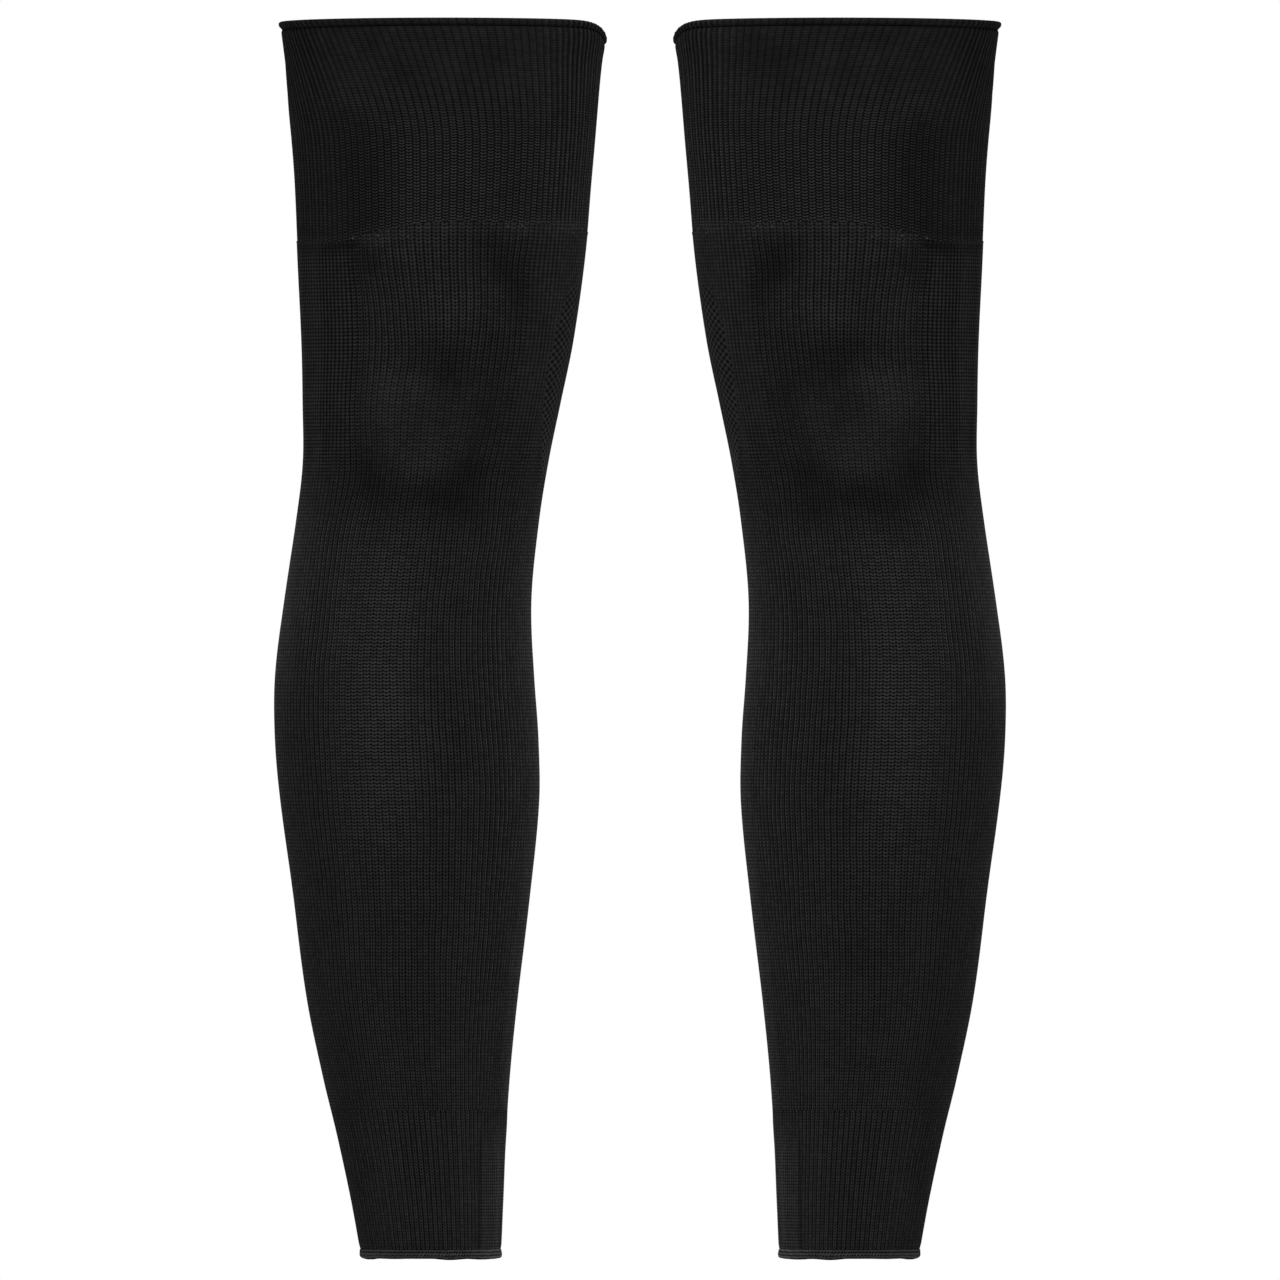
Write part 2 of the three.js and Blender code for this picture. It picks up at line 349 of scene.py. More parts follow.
@dataclass
class TubeWall:
    """A closed tube wall from rings of outer and inner points.

    The outer and inner points are arrays by row from the bottom, turn and axis, with a whole number
    of outer points to each inner one. The courses are those at the outer and at the inner points.
    """

    name: str
    side: Side
    outer: np.ndarray
    inner: np.ndarray
    wales: float
    courses: tuple[np.ndarray, np.ndarray]
    marks: dict[str, np.ndarray]

    def __post_init__(self) -> None:
        """Counts the rows and the points of a ring."""
        self.rows, self.count, _ = self.outer.shape
        self.inner_count = self.inner.shape[1]
        walls = (self.outer, self.inner)
        self.course = [np.broadcast_to(c, p.shape[:2]) for c, p in zip(self.courses, walls)]

    def skin(self, inside: bool) -> tuple[np.ndarray, np.ndarray]:
        """The quads of the outer or the inner face, with the wale and course of each corner."""
        count = self.inner_count if inside else self.count
        row, k = np.mgrid[0 : self.rows - 1, 0:count]
        rows = (row, row, row + 1, row + 1) if inside else (row, row + 1, row + 1, row)
        places = (k, k + 1, k + 1, k) if inside else (k, k, k + 1, k + 1)
        rows, places = (np.stack(part, -1).reshape(-1, 4) for part in (rows, places))
        start = self.rows * self.count if inside else 0
        quads = start + rows * count + places % count
        uv = np.stack([places / count * self.wales, self.course[inside][rows, places % count]], -1)
        return quads, uv

    def rim(self, at_row: int, turned: bool) -> tuple[np.ndarray, np.ndarray]:
        """The triangles that close one end, with the wale and course of each corner."""
        ratio = self.count // self.inner_count
        k = np.arange(self.count)
        from_outside = np.stack([k, k + 1, k // ratio + (k % ratio >= ratio / 2)], -1)
        j = np.arange(self.inner_count)
        from_inside = np.stack([j * ratio + math.ceil(ratio / 2), j + 1, j], -1)
        fan = np.concatenate([from_outside, from_inside])
        inside = np.array([[False, False, True]] * self.count + [[False, True, True]] * self.inner_count)
        inner_index = self.rows * self.count + at_row * self.inner_count + fan % self.inner_count
        index = np.where(inside, inner_index, at_row * self.count + fan % self.count)
        u = np.where(inside, fan / self.inner_count, fan / self.count) * self.wales
        v_inside = self.course[1][at_row, fan % self.inner_count]
        v = np.where(inside, v_inside, self.course[0][at_row, fan % self.count])
        uv = np.stack([u, v], -1)
        return (index[:, ::-1], uv[:, ::-1]) if turned else (index, uv)

    def faces(self) -> tuple[np.ndarray, np.ndarray, np.ndarray]:
        """The corners of all faces in a row, the corners of each, and their wales and courses."""
        skins = [self.skin(False), self.skin(True)]
        rims = [self.rim(0, False), self.rim(self.rows - 1, True)]
        loops, sizes, places = [], [], []
        for group in (skins, rims):
            index, uv = (np.concatenate(part) for part in zip(*group))
            if self.side is Side.LEFT:
                index, uv = index[:, ::-1], uv[:, ::-1]
            loops.append(index.reshape(-1))
            sizes.append(np.full(len(index), index.shape[1]))
            places.append(uv.reshape(-1, 2))
        return np.concatenate(loops), np.concatenate(sizes), np.concatenate(places)

    def sharpen_rims(self, mesh: bpy.types.Mesh) -> None:
        """Marks the edges round both ends as sharp."""
        end = np.zeros(len(mesh.vertices), int)
        inner_start = self.rows * self.count
        end[: self.count] = end[inner_start - self.count : inner_start] = 1
        end[inner_start : inner_start + self.inner_count] = end[-self.inner_count :] = 2
        pairs = np.zeros(2 * len(mesh.edges), np.int32)
        mesh.edges.foreach_get("vertices", pairs)
        first, last = end[pairs[::2]], end[pairs[1::2]]
        rim = mesh.attributes.new("sharp_edge", "BOOLEAN", "EDGE")
        rim.data.foreach_set("value", (first > 0) & (first == last))

    def add_marks(self, mesh: bpy.types.Mesh) -> None:
        """Gives the mesh's points their marks, and the inside's points a mark of their own."""
        outside = self.rows * self.count
        for mark, values in self.marks.items():
            whole = np.zeros(len(mesh.vertices), np.float32)
            whole[:outside] = np.broadcast_to(values, (self.rows, self.count)).reshape(-1)
            mesh.attributes.new(mark, "FLOAT", "POINT").data.foreach_set("value", whole)
        inside = (np.arange(len(mesh.vertices)) >= outside).astype(np.float32)
        mesh.attributes.new("inside", "FLOAT", "POINT").data.foreach_set("value", inside)

    def build(self) -> bpy.types.Object:
        """The wall as an object, with a UV map in wales and courses."""
        points = np.concatenate([self.outer.reshape(-1, 3), self.inner.reshape(-1, 3)]) * MM
        loops, sizes, places = self.faces()
        mesh = bpy.data.meshes.new(self.name)
        mesh.vertices.add(len(points))
        mesh.vertices.foreach_set("co", points.reshape(-1))
        mesh.loops.add(len(loops))
        mesh.loops.foreach_set("vertex_index", loops)
        mesh.polygons.add(len(sizes))
        mesh.polygons.foreach_set("loop_start", np.concatenate([[0], np.cumsum(sizes)[:-1]]))
        mesh.polygons.foreach_set("use_smooth", np.ones(len(sizes), bool))
        mesh.update(calc_edges=True)
        self.sharpen_rims(mesh)
        layer = mesh.uv_layers.new(name="stitches")
        layer.data.foreach_set("uv", places.reshape(-1).astype(np.float32))
        self.add_marks(mesh)
        return linked(self.name, mesh)


def linked(name: str, mesh: bpy.types.Mesh) -> bpy.types.Object:
    """A new object of a mesh, in the scene."""
    item = bpy.data.objects.new(name, mesh)
    bpy.context.collection.objects.link(item)
    return item


# Soft clouds in the yarn's tone: how many lie along a metre
CLOUD_SCALE = 55.0


class NodeGraph:
    """Short calls that add and join the nodes of one tree."""

    def __init__(self, tree: bpy.types.NodeTree) -> None:
        """Starts on a tree."""
        self.tree = tree

    def add(self, kind: str, **values: object) -> bpy.types.Node:
        """A new node, with its properties set."""
        node = self.tree.nodes.new(kind)
        for name, value in values.items():
            setattr(node, name, value)
        return node

    def feed(self, socket: bpy.types.NodeSocket, value: object) -> None:
        """Links a socket to another one, or sets its value."""
        if isinstance(value, bpy.types.NodeSocket):
            self.tree.links.new(value, socket)
        else:
            socket.default_value = value

    def fed(self, kind: str, inputs: dict[str | int, object], **values: object) -> bpy.types.Node:
        """A new node, with its properties set and its inputs fed by name or number."""
        node = self.add(kind, **values)
        for key, value in inputs.items():
            self.feed(node.inputs[key], value)
        return node

    def math(self, operation: str, *values: object) -> bpy.types.NodeSocket:
        """The result of a math node on numbers or sockets."""
        return self.fed("ShaderNodeMath", dict(enumerate(values)), operation=operation).outputs[0]

    def times(self, a: object, b: object) -> bpy.types.NodeSocket:
        """The product of two numbers."""
        return self.math("MULTIPLY", a, b)

    def less(self, a: object, b: object) -> bpy.types.NodeSocket:
        """The first number less the second."""
        return self.math("SUBTRACT", a, b)

    def mix(self, factor: object, a: object, b: object) -> bpy.types.NodeSocket:
        """A number between a and b."""
        return self.fed("ShaderNodeMix", {0: factor, 2: a, 3: b}, data_type="FLOAT").outputs[0]

    def mix_colour(self, factor: object, a: object, b: object) -> bpy.types.NodeSocket:
        """A colour between a and b."""
        return self.fed("ShaderNodeMix", {0: factor, 6: a, 7: b}, data_type="RGBA").outputs[2]

    def vector(self, *values: object) -> bpy.types.NodeSocket:
        """A vector of up to three numbers."""
        return self.fed("ShaderNodeCombineXYZ", dict(enumerate(values))).outputs[0]

    def ramp(self, value: object, low: float, high: float) -> bpy.types.NodeSocket:
        """0 at low, 1 at high and a smooth rise between them."""
        inputs = {"Value": value, "From Min": low, "From Max": high}
        return self.fed("ShaderNodeMapRange", inputs, interpolation_type="SMOOTHSTEP").outputs[0]

    def arch(self, value: object) -> bpy.types.NodeSocket:
        """A hump from 0 to 1 and back over each whole step of the value."""
        return self.math("SINE", self.times(self.math("FRACT", value), math.pi))


def new_group(name: str, kind: str, inputs: dict[str, str], outputs: dict[str, str]) -> bpy.types.NodeTree:
    """A new node group.

    Args:
        name: Its name.
        kind: The type of its tree.
        inputs: The kind of each input socket, by the input's name.
        outputs: The kind of each output socket, by the output's name.

    Returns:
        The group, which has its sockets and no nodes yet.
    """
    tree = bpy.data.node_groups.new(name, kind)
    for way, sockets in (("INPUT", inputs), ("OUTPUT", outputs)):
        for label, socket in sockets.items():
            tree.interface.new_socket(name=label, in_out=way, socket_type=f"NodeSocket{socket}")
    return tree


# The shares of other stitches that a wall is marked with, point by point
STITCH_SHARES = ("Moss", "Fine", "Stretch", "Brick", "Smooth", "Single")


class StitchPattern:
    """The pattern of knitted stitches over a place in wales and courses."""

    leg_round = 0.6
    strand_round = 1.7
    half_crown = 0.5
    purl_arc = 0.2
    fine_pitch = 1.15
    gap_from = 0.22
    gap_to = 0.88

    def __init__(self, graph: NodeGraph, given: bpy.types.Node) -> None:
        """Starts on a node graph and the node of its inputs."""
        self.graph, self.given = graph, given.outputs
        place = graph.fed("ShaderNodeSeparateXYZ", {0: given.outputs["Stitch"]})
        self.wale, self.course = place.outputs[0], place.outputs[1]
        self.wale_index = graph.math("FLOOR", self.wale)
        self.aside = graph.math("ABSOLUTE", graph.less(graph.math("FRACT", self.wale), 0.5))
        self.stretch = given.outputs["Stretch"]
        self.phase = self.shifted_course()

    def shifted_course(self) -> bpy.types.NodeSocket:
        """The course, slanted over each half stitch and shifted a little from wale to wale."""
        graph = self.graph
        brick = graph.times(graph.math("MODULO", self.wale_index, 2.0), 0.5)
        brick = graph.times(brick, self.given["Brick"])
        slanted = graph.times(self.aside, self.given["Slant"])
        phase = graph.less(graph.math("ADD", self.course, brick), slanted)
        along = graph.vector(graph.times(self.wale_index, 0.73), graph.times(self.course, 0.09))
        inputs = {"Vector": along, "Scale": 1.0, "Detail": 1.0}
        drift = graph.fed("ShaderNodeTexNoise", inputs, noise_dimensions="2D").outputs[0]
        wander = graph.times(graph.less(drift, 0.5), graph.mix(self.stretch, 0.3, 0.5))
        return graph.math("ADD", phase, wander)

    def plain(self) -> bpy.types.NodeSocket:
        """The height of plain stitches: two slanted legs in each wale."""
        graph = self.graph
        strand = graph.math("POWER", graph.arch(self.phase), self.strand_round)
        leg = graph.math("ABSOLUTE", graph.math("SINE", graph.times(self.aside, TURN)))
        leg = graph.math("POWER", leg, self.leg_round)
        inward = graph.less(1.0, graph.ramp(self.aside, 0.08, 0.3))
        centre = graph.times(inward, graph.mix(self.given["Single"], 0.5, 1.0))
        leg = graph.math("MAXIMUM", leg, centre)
        soft = graph.times(graph.ramp(self.given["Single"], 0.8, 1.0), 0.33)
        filled = graph.math("MAXIMUM", soft, graph.times(self.stretch, 0.4))
        level = graph.mix(self.given["Smooth"], strand, 1.0)
        return graph.times(graph.mix(filled, leg, 1.0), graph.math("MULTIPLY_ADD", level, 0.85, 0.15))

    def purl(self) -> bpy.types.NodeSocket:
        """The height of the inside's bumps, which arch across each wale."""
        graph = self.graph
        arc = graph.times(graph.math("COSINE", graph.times(self.wale, TURN)), self.purl_arc)
        return graph.arch(graph.math("ADD", self.course, arc))

    def moss(self) -> bpy.types.NodeSocket:
        """The height of moss stitch: a lattice of two wales by two courses."""
        graph = self.graph
        half_wale = graph.math("COSINE", graph.times(self.wale, math.pi))
        half_course = graph.math("COSINE", graph.times(self.course, math.pi))
        return graph.math("MULTIPLY_ADD", graph.times(half_wale, half_course), 0.45, 0.6)

    def fine(self) -> bpy.types.NodeSocket:
        """The height of the small even stitches."""
        graph = self.graph
        turn = graph.times(self.wale, self.fine_pitch * math.pi)
        across = graph.math("ABSOLUTE", graph.math("SINE", turn))
        across = graph.mix(self.stretch, graph.math("MULTIPLY_ADD", across, 0.85, 0.15), 0.85)
        row = graph.mix(self.stretch, graph.math("MULTIPLY_ADD", graph.arch(self.course), 0.65, 0.35), 0.8)
        return graph.times(across, row)

    def height(self) -> bpy.types.NodeSocket:
        """The height of whichever stitches lie at a place."""
        height = self.graph.mix(self.given["Fine"], self.plain(), self.fine())
        height = self.graph.mix(self.given["Purl"], height, self.purl())
        return self.graph.mix(self.given["Moss"], height, self.moss())

    def gap(self, height: bpy.types.NodeSocket) -> bpy.types.NodeSocket:
        """Painted shade between the stitches: 1 in the gaps and 0 on the crests."""
        return self.graph.less(1.0, self.graph.ramp(height, self.gap_from, self.gap_to))

    def random(self) -> bpy.types.NodeSocket:
        """A value that differs from stitch to stitch."""
        cell = self.graph.vector(self.wale_index, self.graph.math("FLOOR", self.phase))
        noise = self.graph.fed("ShaderNodeTexWhiteNoise", {"Vector": cell}, noise_dimensions="2D")
        return noise.outputs["Value"]


def stitch_group() -> bpy.types.NodeTree:
    """The shared pattern of knitted stitches, built once.

    Returns:
        A shader node group. It takes a place in wales and courses, the slant of a stitch's legs and
        the shares of purl, moss, fine, stretched, bricked, smooth and single-ribbed stitches. It
        gives the stitches' height, the painted shade of the gaps and a random value.
    """
    name = "Knitted stitches"
    if name in bpy.data.node_groups:
        return bpy.data.node_groups[name]
    inputs = {"Stitch": "Vector"} | dict.fromkeys(("Purl", *STITCH_SHARES, "Slant"), "Float")
    tree = new_group(name, "ShaderNodeTree", inputs, dict.fromkeys(("Height", "Gap", "Random"), "Float"))
    graph = NodeGraph(tree)
    pattern = StitchPattern(graph, graph.add("NodeGroupInput"))
    height = pattern.height()
    graph.fed("NodeGroupOutput", {"Height": height, "Gap": pattern.gap(height), "Random": pattern.random()})
    return tree


def nap_group() -> bpy.types.NodeTree:
    """The shared nap of spun yarn, built once.

    Returns:
        A shader node group that gives the height of loose fibres and a soft cloudiness.
    """
    name = "Yarn nap"
    if name in bpy.data.node_groups:
        return bpy.data.node_groups[name]
    inputs = {"Place": "Vector", "Fibre scale": "Float"}
    tree = new_group(name, "ShaderNodeTree", inputs, {"Fibre": "Float", "Cloud": "Float"})
    graph = NodeGraph(tree)
    given = graph.add("NodeGroupInput").outputs
    inputs = {"Vector": given["Place"], "Scale": given["Fibre scale"], "Detail": 3.0}
    fibre = graph.fed("ShaderNodeTexNoise", inputs).outputs[0]
    inputs = {"Vector": given["Place"], "Scale": CLOUD_SCALE, "Detail": 2.0}
    cloud = graph.fed("ShaderNodeTexNoise", inputs).outputs[0]
    graph.fed("NodeGroupOutput", {"Fibre": fibre, "Cloud": cloud})
    return tree


Sockets = bpy.types.bpy_prop_collection

# The place in a stitch, in wales and courses, that strands of yarn take their tone from
STRAND_CREST = (0.25, 0.5, 0.0)

# Shares of the crests' colour: painted shade, a painted pale rim light at the sides, and the yarn's soft
# clouds
PAINTED_SHADE_SHARE = 0.3
RIM_LIGHT_SHARE = 4.2
CLOUD_LIGHTER = 1.35
CLOUD_SHARE = 0.12

# How edge on the wall is where the painted rim light starts, and how fast it rises from there
RIM_LIGHT_FROM = 0.2
RIM_LIGHT_RISE = 1.5

STITCH_UNEVENNESS = 0.3
FIBRE_HEIGHT = 0.22
GAP_ROUGHNESS = 0.97
SPECULAR = 0.05


@dataclass(frozen=True)
class YarnFinish:
    """A knitted finish: its record slot, name, colours, stitch relief and sheen."""

    slot: str
    name: str
    knit: Knit
    crest: tuple[float, float, float]
    # The colour of the painted shade in the gaps and grooves
    gap: tuple[float, float, float]
    relief: float
    slant: float = 0.7
    roughness: float = 0.86
    sheen: float = 0.01
    sheen_roughness: float = 0.45
    fibre_scale: float = 2600.0

    def material(self) -> bpy.types.Material:
        """The finish's material, built once."""
        if self.name in bpy.data.materials:
            return bpy.data.materials[self.name]
        made = bpy.data.materials.new(self.name)
        made.use_nodes = True
        made.node_tree.nodes.clear()
        graph = NodeGraph(made.node_tree)
        place = STRAND_CREST
        if self.knit is Knit.WALL:
            place = graph.add("ShaderNodeUVMap", uv_map="stitches").outputs[0]
        inputs = {"Stitch": place, "Slant": self.slant, "Purl": self.mark(graph, "inside")}
        for share in STITCH_SHARES:
            inputs[share] = self.mark(graph, share.lower())
        stitches = graph.fed("ShaderNodeGroup", inputs, node_tree=stitch_group())
        at = graph.add("ShaderNodeTexCoord").outputs["Object"]
        inputs = {"Place": at, "Fibre scale": self.fibre_scale}
        nap = graph.fed("ShaderNodeGroup", inputs, node_tree=nap_group())
        self.dress(graph, stitches.outputs, nap.outputs)
        return made

    @staticmethod
    def mark(graph: NodeGraph, name: str) -> bpy.types.NodeSocket:
        """The value of a point attribute; 0 on a piece that has none."""
        return graph.add("ShaderNodeAttribute", attribute_name=name).outputs["Fac"]

    def shade(self, share: float) -> tuple[float, float, float, float]:
        """The crest's colour times a share."""
        return (*(min(1.0, c * share) for c in self.crest), 1.0)

    def yarn_colour(self, graph: NodeGraph) -> bpy.types.NodeSocket:
        """The crests' colour: with painted shade where marked, and a painted rim light where seen edge on.
        """
        # Painted shade: the crest darkens towards a share of its colour as far as the mark says
        crest = graph.mix_colour(self.mark(graph, "dense"), self.shade(1.0), self.shade(PAINTED_SHADE_SHARE))
        # Painted rim light: a paler colour where the wall is seen edge on, as far as the mark says
        facing = graph.add("ShaderNodeLayerWeight").outputs["Facing"]
        edge_on = graph.math("MAXIMUM", graph.less(facing, RIM_LIGHT_FROM), 0.0)
        pale = graph.times(graph.times(edge_on, RIM_LIGHT_RISE), self.mark(graph, "halo"))
        return graph.mix_colour(pale, crest, self.shade(RIM_LIGHT_SHARE))

    def dress(self, graph: NodeGraph, stitches: Sockets, nap: Sockets) -> None:
        """Joins the patterns to the surface, with painted shade in the gaps and the grooves.

        Args:
            graph: The material's graph.
            stitches: What its node of the stitches gives.
            nap: What its node of the nap gives.
        """
        # Painted shade: the gaps between the stitches and the marked grooves take the dark gap colour
        dark = graph.math("MAXIMUM", stitches["Gap"], self.mark(graph, "groove"))
        uneven = graph.mix(stitches["Random"], 0.0, STITCH_UNEVENNESS)
        dark = graph.math("MULTIPLY_ADD", uneven, graph.less(1.0, dark), dark)
        colour = graph.mix_colour(dark, self.yarn_colour(graph), (*self.gap, 1.0))
        cloud = graph.ramp(nap["Cloud"], 0.3, 0.75)
        lit = graph.times(graph.times(cloud, graph.less(1.0, dark)), CLOUD_SHARE)
        colour = graph.mix_colour(lit, colour, self.shade(CLOUD_LIGHTER))
        height = graph.math("MULTIPLY_ADD", nap["Fibre"], FIBRE_HEIGHT, stitches["Height"])
        inputs = {"Strength": 1.0, "Distance": self.relief * MM, "Height": height}
        bump = graph.fed("ShaderNodeBump", inputs)
        rough = graph.mix(dark, self.roughness, GAP_ROUGHNESS)
        inputs = {"Base Color": colour, "Roughness": rough, "Normal": bump.outputs[0]}
        shader = graph.fed("ShaderNodeBsdfPrincipled", inputs)
        shader.inputs["Specular IOR Level"].default_value = SPECULAR
        shader.inputs["Sheen Weight"].default_value = self.sheen
        shader.inputs["Sheen Roughness"].default_value = self.sheen_roughness
        graph.fed("ShaderNodeOutputMaterial", {"Surface": shader.outputs[0]})


def grey(value: float) -> tuple[float, float, float]:
    """A neutral grey."""
    return (value, value, value)


# The colour of the painted shade in the gaps and grooves
GAP_SHADE_COLOUR = grey(0.0011)
CUFF_FINISH = YarnFinish("cuff_rib", "cuff_yarn", Knit.WALL, grey(0.041), GAP_SHADE_COLOUR, 0.4)
LINK_FINISH = YarnFinish("cuff_rib", "linking_yarn", Knit.STRAND, grey(0.028), GAP_SHADE_COLOUR, 0.3)
KNOT_FINISH = YarnFinish("cuff_rib", "knot_yarn", Knit.STRAND, grey(0.055), GAP_SHADE_COLOUR, 0.3)
LEG_FINISH = YarnFinish("leg_knit", "leg_yarn", Knit.WALL, grey(0.043), GAP_SHADE_COLOUR, 0.5)
ANKLE_FINISH = YarnFinish("ankle_rib", "ankle_yarn", Knit.WALL, grey(0.0435), GAP_SHADE_COLOUR, 0.5)
HEM_FINISH = YarnFinish("hem_band", "hem_yarn", Knit.WALL, grey(0.065), GAP_SHADE_COLOUR, 0.4)
OVERCAST_FINISH = YarnFinish("hem_band", "overcast_yarn", Knit.STRAND, grey(0.070), GAP_SHADE_COLOUR, 0.2)


def rib_profile(points: int, second: float) -> np.ndarray:
    """The depth across a rib's two wales: 1 in the grooves and 0 at the higher crest.

    Args:
        points: The number of points across the rib.
        second: The depth at the second wale's crest.

    Returns:
        The depth at each point, starting in a groove.
    """
    share = np.arange(points) / points
    wale = (0.5 + 0.5 * np.cos(share * 2 * TURN)) ** 1.4
    lower = second * (0.5 - 0.5 * np.sin(share * TURN))
    return lower + (1 - lower) * wale


@dataclass
class ThighCuff:
    """The deep ribbed cuff, with its turned welt at the top edge."""

    form: LegForm
    ribs: int = WALES // 2
    points_each: int = 12
    inner_points: int = WALES
    body_rows: int = 50
    relief: float = 0.95
    second_wale: float = 0.25
    wall: float = 2.2
    seam_gap: float = 0.04
    uneven_ribs: float = 0.22
    soft_lift: float = 0.15
    plain_from: float = -15.0
    plain_to: float = 25.0
    lean_start: float = -8.0
    lean_turn: float = 0.2
    lean_extra_outside: float = 0.7
    welt_groove: float = 0.963
    welt_shares: Sequence[float] = (0.944, 0.952, 0.958, 0.963, 0.969, 0.976, 0.984, 0.991, 0.996, 1.0)
    lift_shares: Sequence[float] = (0.0, 0.02, 0.05, 0.94, 0.955, 0.964, 0.974, 0.986, 0.996, 1.0)
    lifts: Sequence[float] = (0.15, 0.15, 0.15, 0.15, -0.1, -0.75, 0.3, 0.6, 0.15, -0.6)

    def leaned(self, turn: np.ndarray, straight: np.ndarray) -> np.ndarray:
        """The turn of a rib at a height, as it leans outwards near the top edge."""
        rise = np.clip((straight - self.lean_start) / (TOP_EDGE - self.lean_start), 0, 1)
        lean = self.lean_turn * rise * rise * (2 - rise)
        return turn + lean * (1 + self.lean_extra_outside * np.sin(turn))

    def rows(self, turn: np.ndarray) -> tuple[np.ndarray, np.ndarray, np.ndarray]:
        """The shares up the cuff, and the heights and turns of its points."""
        shares = np.concatenate([np.linspace(0, 0.935, self.body_rows), self.welt_shares])[:, None]
        seam = self.form.cuff_seam(turn)[None, :] + self.seam_gap / 2
        leaned = self.leaned(turn[None, :], seam + (TOP_EDGE - seam) * shares)
        return shares, seam + (self.form.top_edge(leaned) - seam) * shares, leaned

    def depth(self, height: np.ndarray, turn: np.ndarray) -> np.ndarray:
        """How deep the grooves are: less where the front is stretched above the seam."""
        side = ease(np.abs(between(turn, 0.0)), math.radians(32), math.radians(75))
        start = 1 - 0.6 * bell(height - self.form.cuff_seam(turn), 3.0)
        plain = 0.5 * ease(height, self.plain_from, self.plain_to) * (1 - side)
        shown = (1 - 0.6 * self.stretch(height, turn)) * (1 - plain) * start
        return self.relief * (0.6 - 0.1 * side) * shown

    def stretch(self, height: np.ndarray, turn: np.ndarray) -> np.ndarray:
        """Where the cloth is stretched sideways: low down at the front."""
        low = 1 - ease(height, -22.0, 20.0)
        front = 1 - ease(np.abs(between(turn, 0.1)), math.radians(28), math.radians(66))
        return low * front

    def build(self) -> bpy.types.Object:
        """The cuff's wall as one object."""
        count = self.ribs * self.points_each
        turn = np.arange(count) / count * TURN
        shares, height, leaned = self.rows(turn)
        noise = SoftNoise(11, self.ribs, 9.0)
        depth = self.depth(height, leaned) * (1 + self.uneven_ribs * noise.at(turn[None, :], height))
        groove = np.tile(rib_profile(self.points_each, self.second_wale), self.ribs)[None, :]
        lift = np.interp(shares, self.lift_shares, self.lifts)
        lift = lift + self.soft_lift * SoftNoise(12, 9, 30.0).at(leaned, height)
        outer = self.form.points(height, leaned, lift - depth * groove)
        inner_turn = np.arange(self.inner_points) / self.inner_points * TURN
        _, inner_height, inner_leaned = self.rows(inner_turn)
        inner = self.form.points(inner_height, inner_leaned, -self.wall)
        courses = tuple(self.courses(shares, rise) for rise in (height, inner_height))
        name, marks = f"{self.form.side.label}_cuff", self.marks(shares, height, leaned, groove)
        return TubeWall(name, self.form.side, outer, inner, 2 * self.ribs, courses, marks).build()

    def courses(self, shares: np.ndarray, height: np.ndarray) -> np.ndarray:
        """The course at each point: level at the seam, and along the rim at the top edge."""
        along = shares * (TOP_EDGE - CUFF_SEAM)
        rise = (height - CUFF_SEAM) * (1 - shares**2) + along * shares**2
        return course_at(rise + CUFF_SEAM, CUFF_COURSES)

    def marks(
        self, shares: np.ndarray, height: np.ndarray, turn: np.ndarray, groove: np.ndarray
    ) -> dict[str, np.ndarray]:
        """The marks of the cuff's outer points, for its material, with painted shade and a painted rim
        light.

        Args:
            shares: How far up the cuff the points are.
            height: Their heights.
            turn: Their turns.
            groove: 1 in the grooves and 0 on the ribs.

        Returns:
            The marks' values by name.
        """
        stretch = self.stretch(height, turn)
        front = np.degrees(between(turn, 0.0))
        side = ease(np.abs(front), 25, 60)
        outer_side = ease(front, 8, 38) * (1 - 0.4 * ease(front, 66, 80))
        inner_side = ease(-front, 20, 70)
        upper = ease(height, self.plain_from, self.plain_to)
        # Painted shade along the groove under the welt
        welt = 0.9 * bell(shares - self.welt_groove, 0.008)
        start = 1 - 0.6 * bell(height - self.form.cuff_seam(turn), 2.5)
        shown = (1 - 0.3 * stretch) * (1 - 0.8 * upper * (1 - side)) * start
        return {
            # Painted shade in the grooves between the ribs and in the welt's groove
            "groove": np.maximum(groove ** (1.4 - 0.8 * side) * shown, welt),
            "stretch": 0.35 * stretch,
            "brick": stretch,
            "smooth": np.maximum(0.3 * side, 0.45 * upper),
            "single": np.maximum(0.8 * side, upper),
            # Painted shade: darker on the outer side and up the plain middle of the cuff
            "dense": np.maximum(0.68 * outer_side, upper * (1 - 0.3 * inner_side)),
            # Painted rim light at the sides of the cuff
            "halo": self.form.halo(height, turn),
        }


